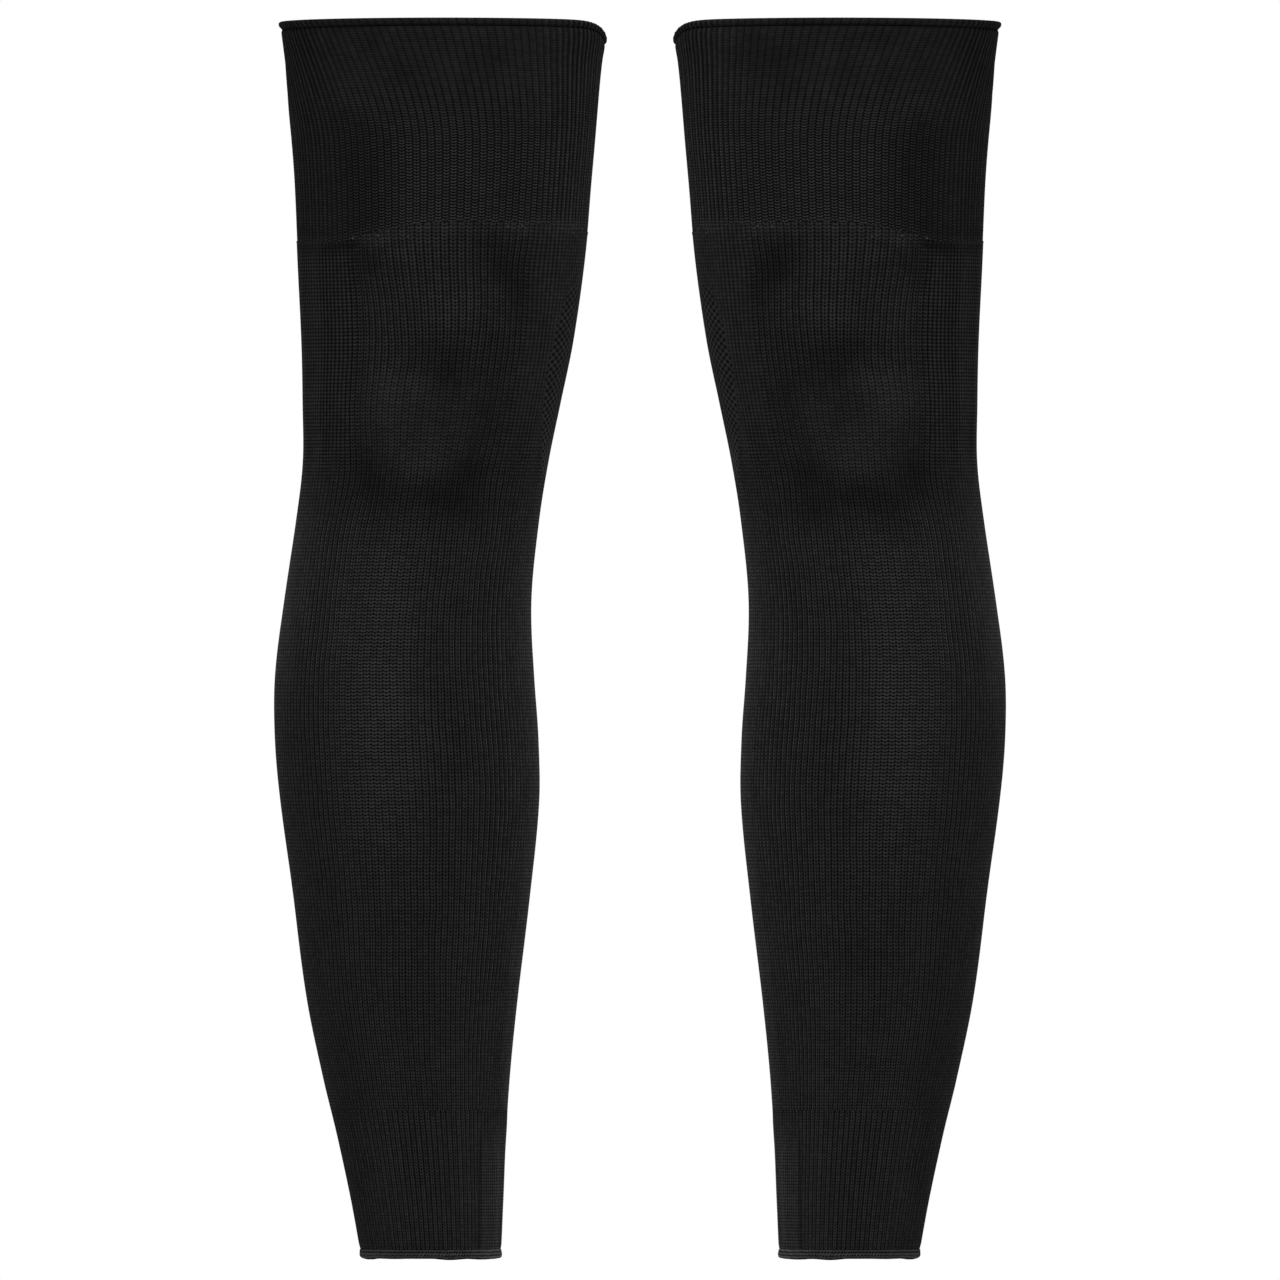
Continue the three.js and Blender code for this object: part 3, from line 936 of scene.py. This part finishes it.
@dataclass
class LegTube:
    """The long plain leg, over the knee and the calf."""

    form: LegForm
    wales: int = WALES
    points_each: int = 5
    rows: int = 118
    relief: float = 0.62
    wall: float = 1.8
    lift: float = 0.15
    soft_lift: float = 0.15
    uneven_wales: float = 0.3
    drift_wales: float = 0.12
    seam_gap: float = 0.04
    profile: Sequence[float] = (1.0, 0.3, 0.0, 0.0, 0.3)
    # Patches of painted shade in and beside the hollows of the knee; a negative push paints a lighter patch
    hollows: Sequence[Swell] = (
        Swell(-62, 30, 9, 20, 0.3, 0.44),
        Swell(-66, -28, 12, 13, 0.55, 1.1),
        Swell(-84, -6, 9, 12, -0.18),
        Swell(-124, 19, 14, 8, -0.15),
        Swell(-112, -7, 11, 20, 0.4, 0.4),
        Swell(-130, -1, 15, 11, 0.27),
        Swell(-130, -27, 18, 7, 0.25),
        Swell(-162, 28, 14, 13, 0.55),
        Swell(-165, -23, 15, 11, 0.6),
        Swell(-171, 2, 9, 18, 0.35),
        Swell(-180, 20, 12, 11, 0.2),
        Swell(-270, 11, 58, 15, -0.3),
        Swell(-270, -24, 80, 16, 0.12),
        Swell(-375, 5, 55, 30, 0.2),
    )

    def heights(self, turn: np.ndarray) -> np.ndarray:
        """The heights of the rows: level, but for the last few below the arched seam."""
        top = self.form.cuff_seam(turn)[None, :] - self.seam_gap / 2
        low, bend, high = ANKLE_SEAM + self.seam_gap / 2, CUFF_SEAM - 4.5, CUFF_SEAM + 7.0
        level = np.linspace(low, high, self.rows)[:, None]
        squeezed = bend + (level - bend) * (top - bend) / (high - bend)
        return np.where(level < bend, level, squeezed)

    def fine(self, height: np.ndarray, turn: np.ndarray) -> np.ndarray:
        """Where the stitches are small and even: the sides of the knee."""
        front = between(turn, 0.0)
        outer = ease(front, math.radians(28), math.radians(46))
        inner = ease(-front, math.radians(34), math.radians(44))
        return np.maximum(outer, inner) * ease(height, -170.0, -130.0)

    def slant(self, height: np.ndarray, turn: np.ndarray) -> np.ndarray:
        """How far the wales are pulled aside above the kneecap."""
        near = bell(between(turn, math.radians(18))[None, :], math.radians(26))
        return 0.11 * near * ease(height, -104.0, -44.0)

    def stretch(self, height: np.ndarray, turn: np.ndarray) -> np.ndarray:
        """Where the cloth is stretched sideways: over the kneecap, and less on the shin."""
        across = np.degrees(between(turn, math.radians(-2)))
        knee = np.exp(-(((height + 136) / 24) ** 4) - (across / 34) ** 4)
        across = np.degrees(between(turn, math.radians(14)))
        shin = 0.75 * np.exp(-(((height + 262) / 80) ** 4) - (across / 20) ** 4)
        return np.maximum(knee, shin)

    def dense(self, height: np.ndarray, turn: np.ndarray) -> np.ndarray:
        """Painted shade: in and beside the hollows, on the knee's sides, a little all over, less on light
        patches.
        """
        across = np.degrees(between(turn, 0.0))
        fine = self.fine(height, turn)
        knee = 0.22 * ease(height, -200.0, -175.0) * bell(across, 40.0)
        share = 0.3 + knee * (1 - fine) + fine * np.where(across > 0, 0.3, 0.36)
        for hollow in self.hollows:
            up = height - hollow.height - hollow.slope * (across - hollow.turn_degrees)
            aside = bell(across - hollow.turn_degrees, hollow.wide_degrees)
            share = share + hollow.push * bell(up, hollow.tall) * aside
        return np.clip(share, 0, 1)

    def moss(self, height: np.ndarray, turn: np.ndarray) -> np.ndarray:
        """Where the moss stitch lies: behind the knee, and round to its inner side."""
        bend = 14 * ((height + 110) / 46) ** 2
        inner = -np.degrees(between(turn, math.radians(90))) - 148.5 - bend
        outer = np.degrees(between(turn, math.radians(90))) - 10 - bend
        inside = np.maximum(ease(inner, -2.0, 2.0), ease(outer, -2.0, 2.0))
        return inside * ease(height, -161.0, -158.0) * (1 - ease(height, -75.0, -72.0))

    def build(self) -> bpy.types.Object:
        """The leg's wall as one object."""
        count = self.wales * self.points_each
        turn = np.arange(count) / count * TURN
        height = self.heights(turn)
        drift = SoftNoise(21, 42, 14.0).at(turn[None, :], height)
        drift = self.drift_wales * TURN / self.wales * drift
        turned = self.form.spread(height, turn[None, :]) + drift + self.slant(height, turn)
        uneven = 1 + self.uneven_wales * SoftNoise(22, self.wales, 11.0).at(turn[None, :], height)
        plain = (1 - 0.75 * self.fine(height, turned)) * (1 - self.moss(height, turned))
        depth = self.relief * uneven * plain * (1 - 0.75 * self.stretch(height, turned))
        groove = np.array(self.profile)[np.arange(count) % self.points_each][None, :]
        ends = 1 - bell(height - ANKLE_SEAM, 6.0)
        lift = self.soft_lift * SoftNoise(23, 8, 34.0).at(turned, height) * ends + self.lift
        outer = self.form.points(height, turned, lift - depth * groove)
        inner_turn = np.arange(self.wales) / self.wales * TURN
        inner_height = self.heights(inner_turn)
        inner_turned = self.form.spread(inner_height, inner_turn[None, :])
        inner = self.form.points(inner_height, inner_turned, -self.wall)
        courses = (course_at(height, LEG_COURSES), course_at(inner_height, LEG_COURSES))
        name, marks = f"{self.form.side.label}_leg_knit", self.marks(height, turned, groove)
        return TubeWall(name, self.form.side, outer, inner, self.wales, courses, marks).build()

    def marks(self, height: np.ndarray, turn: np.ndarray, groove: np.ndarray) -> dict[str, np.ndarray]:
        """The marks of the leg's outer points, for its material, with painted shade and a painted rim
        light.

        Args:
            height: The points' heights.
            turn: Their turns.
            groove: 1 in the grooves and 0 on the wales.

        Returns:
            The marks' values by name.
        """
        fine, moss = self.fine(height, turn), self.moss(height, turn)
        stretch = self.stretch(height, turn)
        shin = stretch * ease(-height, 170.0, 190.0)
        front = np.degrees(between(turn, 0.0))
        side = ease(np.abs(front), 20, 40) * (1 - ease(np.abs(front), 62, 80))
        middle = 0.35 * bell(front - 4, 16.0)
        seam = height - self.form.cuff_seam(turn)
        near = ease(seam + 9.0, 0.0, 6.0) * (1 - fine)
        plain = (1 - 0.9 * fine) * (1 - moss) * (1 - middle) * (1 - 0.6 * near)
        # Painted shade in the grooves between the wales
        dark = groove ** (1 - 0.5 * side) * plain * (1 - 0.4 * stretch - 0.4 * shin)
        # A painted dark line of shade just under the seam, on the outer side
        row = bell(seam + 2.6, 1.9) * ease(front, 33, 39)
        return {
            "smooth": 0.38 * (1 - 0.5 * shin) * (1 - fine),
            "groove": np.maximum(dark, row * (0.7 + 0.3 * groove)),
            # Painted shade over the hollows and the knee's sides, and a painted rim light at the sides
            "dense": self.dense(height, turn),
            "halo": self.form.halo(height, turn),
            "fine": fine,
            "moss": moss,
            "stretch": np.maximum(np.maximum(stretch, 0.6 * near), 0.5 * fine * (front < 0)),
        }


@dataclass
class AnkleRib:
    """The ribbed ankle, with a plain strip on its inner side."""

    form: LegForm
    ribs: int = 56
    points_each: int = 12
    rows: int = 34
    relief: float = 0.6
    second_wale: float = 0.35
    wall: float = 2.2
    seam_gap: float = 0.04
    strip_turn: float = math.radians(-44)
    strip_end: float = math.radians(-112)

    def strip(self, turn: np.ndarray) -> np.ndarray:
        """Where the plain strip lies."""
        front = between(turn, 0.0)
        starts = ease(-front, -self.strip_turn, -self.strip_turn + 0.03)
        return starts * (1 - ease(-front, -self.strip_end, -self.strip_end + 0.03))

    def build(self) -> bpy.types.Object:
        """The ankle's wall as one object."""
        count = self.ribs * self.points_each
        turn = np.arange(count) / count * TURN
        low, high = HEM_SEAM + self.seam_gap / 2, ANKLE_SEAM - self.seam_gap / 2
        height = np.linspace(low, high, self.rows)[:, None]
        turned = self.form.spread(height, turn[None, :])
        strip = self.strip(turned)
        uneven = 1 + 0.3 * SoftNoise(31, self.ribs, 9.0).at(turn[None, :], height)
        # A thin groove along the strip's edge, also painted dark as shade
        line = 0.75 * bell(between(turned, self.strip_turn), 0.015) * ease(ANKLE_SEAM - height, 0.0, 14.0)
        side = ease(np.abs(between(turned, 0.0)), math.radians(25), math.radians(65))
        starts = ease(ANKLE_SEAM - height, 0.0, 24.0)
        depth = self.relief * uneven * (1 - 0.7 * strip * starts) * (0.9 + 0.3 * side * starts)
        groove = np.tile(rib_profile(self.points_each, self.second_wale), self.ribs)[None, :]
        lift = 0.2 * SoftNoise(32, 7, 22.0).at(turn[None, :], height) * (1 - bell(height - high, 6.0))
        lift = lift + 0.15 - 0.25 * bell(height - low, 1.4) - 0.5 * line
        outer = self.form.points(height, turned, lift - depth * groove)
        inner_turn = np.arange(2 * self.ribs) / (2 * self.ribs) * TURN
        inner = self.form.points(height, self.form.spread(height, inner_turn[None, :]), -self.wall)
        courses = ((height - ANKLE_SEAM) / LEG_COURSES[0][1],) * 2
        # Painted shade in the grooves and along the strip's edge, painted shade over the strip, and a
        # painted rim light, weaker on the strip
        marks = {
            "groove": np.maximum(groove ** (1.5 - 0.8 * side) * (1 - 0.5 * strip * starts), line),
            "smooth": 0.38 + 0.1 * side * starts,
            "fine": 0.6 * strip * starts,
            "dense": 0.12 + 0.25 * strip * starts,
            "halo": self.form.halo(height, turned) * (1 - strip * (0.2 + 0.25 * starts)),
        }
        name = f"{self.form.side.label}_ankle"
        return TubeWall(name, self.form.side, outer, inner, 2 * self.ribs, courses, marks).build()


@dataclass
class HemBand:
    """The narrow rounded band along the bottom edge."""

    form: LegForm
    points_round: int = 252
    rows: int = 9
    wall: float = 2.4
    bulge: float = 0.3
    wave: float = 0.35
    seam_gap: float = 0.3

    def heights(self, turn: np.ndarray) -> np.ndarray:
        """The heights of the band's rows over its slightly wavy lower edge."""
        shares = np.linspace(0, 1, self.rows)[:, None]
        wave = self.wave * SoftNoise(41, 22, 30.0).at(turn[None, :], np.zeros((1, 1)))
        low = BOTTOM_EDGE + self.wave + wave
        return low + (HEM_SEAM - self.seam_gap / 2 - low) * shares

    def build(self) -> bpy.types.Object:
        """The band's wall as one object."""
        turn = np.arange(self.points_round) / self.points_round * TURN
        height = self.heights(turn)
        shares = np.linspace(0, 1, self.rows)[:, None]
        round_over = np.sqrt(np.clip(1 - (2 * shares - 1) ** 2, 0, 1))
        flare = 0.5 * (1 - shares) - 0.7 * bell(shares, 0.1)
        outer = self.form.points(height, turn[None, :], self.bulge * round_over + flare)
        inner = self.form.points(height, turn[None, :], -self.wall + 0.5 * (1 - round_over))
        name = f"{self.form.side.label}_hem"
        courses = (3 * shares, 3 * shares)
        # Painted rim light at the sides of the band
        marks = {"halo": self.form.halo(height, turn[None, :])}
        return TubeWall(name, self.form.side, outer, inner, WALES, courses, marks).build()


def stitch_row_tree() -> bpy.types.NodeTree:
    """The node tree that lays a row of stitches along a line, built once.

    Returns:
        A geometry node tree with named inputs for the number, sizes and tilt of the stitches.
    """
    name = "Stitch row"
    if name in bpy.data.node_groups:
        return bpy.data.node_groups[name]
    inputs = {"Line": "Geometry", "Number": "Int", "Length": "Float", "Thickness": "Float"}
    inputs |= {"Tilt": "Float", "Unevenness": "Float", "Seed": "Int", "Yarn": "Material"}
    tree = new_group(name, "GeometryNodeTree", inputs, {"Stitches": "Geometry"})
    tree.is_modifier = True
    graph = NodeGraph(tree)
    given = graph.add("NodeGroupInput").outputs
    curve = graph.fed("GeometryNodeMeshToCurve", {"Mesh": given["Line"]}).outputs[0]
    spaced = graph.fed("GeometryNodeResampleCurve", {"Curve": curve, "Count": given["Number"]})
    bead = graph.fed("GeometryNodeMeshUVSphere", {"Segments": 8, "Rings": 6, "Radius": 0.5}).outputs[0]
    size = graph.vector(given["Length"], given["Thickness"], given["Thickness"])
    shaped = graph.fed("GeometryNodeTransform", {"Geometry": bead, "Scale": size})
    kind = "GeometryNodeInputNamedAttribute"
    outward = graph.fed(kind, {"Name": "outward"}, data_type="FLOAT_VECTOR").outputs[0]
    inputs = {0: graph.add("GeometryNodeInputTangent").outputs[0], 1: outward}
    axes = graph.fed("FunctionNodeAxesToRotation", inputs, primary_axis="X", secondary_axis="Z")
    inputs = {0: axes.outputs[0], 1: graph.vector(0.0, 0.0, given["Tilt"])}
    tilted = graph.fed("FunctionNodeRotateRotation", inputs, rotation_space="LOCAL")
    inputs = {2: graph.less(1.0, given["Unevenness"]), 3: 1.0, "Seed": given["Seed"]}
    uneven = graph.fed("FunctionNodeRandomValue", inputs, data_type="FLOAT")
    inputs = {
        "Points": spaced.outputs[0],
        "Instance": shaped.outputs[0],
        "Rotation": tilted.outputs[0],
        "Scale": uneven.outputs[1],
    }
    placed = graph.fed("GeometryNodeInstanceOnPoints", inputs)
    whole = graph.fed("GeometryNodeRealizeInstances", {0: placed.outputs[0]})
    smooth = graph.fed("GeometryNodeSetShadeSmooth", {0: whole.outputs[0]})
    inputs = {"Geometry": smooth.outputs[0], "Material": given["Yarn"]}
    dressed = graph.fed("GeometryNodeSetMaterial", inputs)
    graph.fed("NodeGroupOutput", {0: dressed.outputs[0]})
    return tree


@dataclass
class StitchRow:
    """A row of short stitches along a line on the wall."""

    name: str
    number: int
    length: float
    thickness: float
    tilt: float = 0.0
    unevenness: float = 0.25
    seed: int = 5

    def build(self, line: np.ndarray, outward: np.ndarray, yarn: bpy.types.Material) -> bpy.types.Object:
        """The stitches as one plain mesh.

        Args:
            line: The points of the closed line, in millimetres.
            outward: The wall's outward direction at each point.
            yarn: The stitches' material.

        Returns:
            The finished object.
        """
        count = len(line)
        mesh = bpy.data.meshes.new(self.name + "_line")
        edges = [(i, (i + 1) % count) for i in range(count)]
        mesh.from_pydata((line * MM).tolist(), edges, [])
        held = mesh.attributes.new("outward", "FLOAT_VECTOR", "POINT")
        held.data.foreach_set("vector", outward.reshape(-1).astype(np.float32))
        guide = linked(self.name + "_line", mesh)
        tree = stitch_row_tree()
        modifier = guide.modifiers.new("stitches", "NODES")
        modifier.node_group = tree
        values = {
            "Number": self.number,
            "Length": self.length * MM,
            "Thickness": self.thickness * MM,
            "Tilt": self.tilt,
            "Unevenness": self.unevenness,
            "Seed": self.seed,
            "Yarn": yarn,
        }
        for item in tree.interface.items_tree:
            if item.name in values and item.in_out == "INPUT":
                modifier[item.identifier] = values[item.name]
        bpy.context.view_layer.update()
        seen = guide.evaluated_get(bpy.context.evaluated_depsgraph_get())
        made = bpy.data.meshes.new_from_object(seen)
        made.name = self.name
        guide.modifiers.clear()
        bpy.data.objects.remove(guide)
        return linked(self.name, made)


def line_on(
    form: LegForm, height: np.ndarray, turn: np.ndarray, lift: float
) -> tuple[np.ndarray, np.ndarray]:
    """The points of a line on the wall, and the outward directions there."""
    line = form.points(height, turn, lift)
    out = form.points(height, turn, lift + 1.0) - line
    return line, out / np.linalg.norm(out, axis=-1, keepdims=True)


@dataclass
class Knots:
    """The few knots of yarn along the cuff's seam: their turns in degrees and heights."""

    name: str
    places: Sequence[tuple[float, float]] = (
        (37.4, -51.7),
        (25.8, -50.6),
        (13.2, -51.1),
        (-27.1, -46.5),
        (-33.5, -46.0),
        (-64.7, -49.2),
        (-73.6, -47.4),
    )
    radius: float = 0.6
    lift: float = 0.15

    def build(self, form: LegForm) -> bpy.types.Object:
        """The knots as one plain mesh."""
        balls = bmesh.new()
        for degrees, height in self.places:
            spot = form.points(np.float64(height), np.float64(math.radians(degrees)), self.lift)
            place = Matrix.Translation((spot * MM).tolist())
            radius = self.radius * MM
            bmesh.ops.create_uvsphere(balls, u_segments=8, v_segments=6, radius=radius, matrix=place)
        mesh = bpy.data.meshes.new(self.name)
        balls.to_mesh(mesh)
        balls.free()
        mesh.polygons.foreach_set("use_smooth", np.ones(len(mesh.polygons), bool))
        return linked(self.name, mesh)


@dataclass
class LegWarmer:
    """One leg warmer of the pair."""

    side: Side
    line_points: int = 504

    def stitches(self, form: LegForm) -> dict[str, bpy.types.Object]:
        """The rows of linking stitches at the cuff's seam and on the hem band."""
        turn = np.arange(self.line_points) / self.line_points * TURN
        label = self.side.label
        seam = StitchRow(f"{label}_cuff_linking", WALES, 1.7, 0.9, 0.5, 0.6, 7)
        line, out = line_on(form, form.cuff_seam(turn) + 0.5, turn, 0.1)
        linking = seam.build(line, out, LINK_FINISH.material())
        hem = StitchRow(f"{label}_hem_overcast", 150, 3.4, 0.9, 0.95, 0.2, 9)
        line, out = line_on(form, np.full_like(turn, (HEM_SEAM + BOTTOM_EDGE) / 2), turn, 0.25)
        overcast = hem.build(line, out, OVERCAST_FINISH.material())
        knots = Knots(f"{label}_seam_knots").build(form)
        return {"linking": linking, "overcast": overcast, "knots": knots}

    def build(self) -> None:
        form = LegForm(self.side)
        label = self.side.label
        cuff, leg = ThighCuff(form).build(), LegTube(form).build()
        ankle, hem = AnkleRib(form).build(), HemBand(form).build()
        rows = self.stitches(form)
        dressed = (
            (cuff, CUFF_FINISH, "thigh_cuff"),
            (leg, LEG_FINISH, "leg"),
            (ankle, ANKLE_FINISH, "ankle_rib"),
            (hem, HEM_FINISH, "hem_band"),
            (rows["linking"], LINK_FINISH, None),
            (rows["knots"], KNOT_FINISH, None),
            (rows["overcast"], OVERCAST_FINISH, None),
        )
        for piece, finish, node in dressed:
            piece.data.materials.clear()
            piece.data.materials.append(finish.material())
            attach(piece, "root")
            if node:
                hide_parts(f"{label}_{node}")
            log.info("%s: %d faces", piece.name, len(piece.data.polygons))


@dataclass
class Studio:
    """The pale floor, the soft lights and the camera."""

    distance: float = 20.0
    centre_height: float = -0.236
    floor_height: float = -0.60
    floor_radius: float = 3.0
    sensor: float = 36.0
    ambient: float = 0.28

    def light(self, name: str, place: Sequence[float], size: Sequence[float], power: float) -> None:
        """A soft light that faces the legs: its place, its width and height, and its power."""
        lamp = bpy.data.lights.new(name, "AREA")
        lamp.shape = "RECTANGLE"
        lamp.size, lamp.size_y = size
        lamp.energy = power
        item = bpy.data.objects.new(name, lamp)
        item.location = place
        aim = np.array([0.0, 0.0, self.centre_height]) - np.array(place)
        flat = math.hypot(aim[0], aim[1])
        item.rotation_euler = (math.atan2(flat, -aim[2]), 0.0, math.atan2(-aim[0], aim[1]))
        bpy.context.collection.objects.link(item)

    def camera(self) -> None:
        """A long lens at mid height, framed as the picture is."""
        lens = bpy.data.cameras.new("camera")
        lens.sensor_width = self.sensor
        lens.lens = self.sensor * self.distance / (PICTURE_PX * MM_PER_PX * MM)
        lens.clip_end = 2 * self.distance
        item = bpy.data.objects.new("camera", lens)
        item.location = (0.0, -self.distance, self.centre_height)
        item.rotation_euler = (math.pi / 2, 0.0, 0.0)
        bpy.context.collection.objects.link(item)
        bpy.context.scene.camera = item

    def floor(self) -> None:
        """A plain pale disc well under the hems."""
        around = np.arange(96) / 96 * TURN
        rim = [(self.floor_radius * math.cos(a), self.floor_radius * math.sin(a)) for a in around]
        mesh = bpy.data.meshes.new("floor")
        mesh.from_pydata([(x, y, self.floor_height) for x, y in rim], [], [range(96)])
        item = linked("floor", mesh)
        made = bpy.data.materials.new("floor_white")
        made.use_nodes = True
        shader = made.node_tree.nodes["Principled BSDF"]
        shader.inputs["Base Color"].default_value = (0.9, 0.9, 0.9, 1.0)
        shader.inputs["Roughness"].default_value = 0.9
        mesh.materials.append(made)

    def build(self) -> None:
        """Sets the camera, the lights, the white surroundings and the floor."""
        self.camera()
        self.floor()
        world = bpy.data.worlds.new("studio")
        bpy.context.scene.world = world
        world.use_nodes = True
        graph = NodeGraph(world.node_tree)
        seen = graph.add("ShaderNodeLightPath").outputs["Is Camera Ray"]
        back = world.node_tree.nodes["Background"]
        graph.feed(back.inputs["Color"], (1.0, 1.0, 1.0, 1.0))
        graph.feed(back.inputs["Strength"], graph.mix(seen, self.ambient, 1.0))
        self.light("key", (0.0, -1.8, 2.0), (2.6, 1.2), 66.0)
        scene = bpy.context.scene
        scene.view_settings.view_transform = "Standard"


def main() -> None:
    """Builds the pair and the studio."""
    logging.basicConfig(level=logging.INFO, format="%(name)s: %(message)s")
    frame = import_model()
    log.info("frame has %d nodes", len(frame["nodes"]))
    for side in Side:
        LegWarmer(side).build()
    Studio().build()


if __name__ == "__main__":
    main()
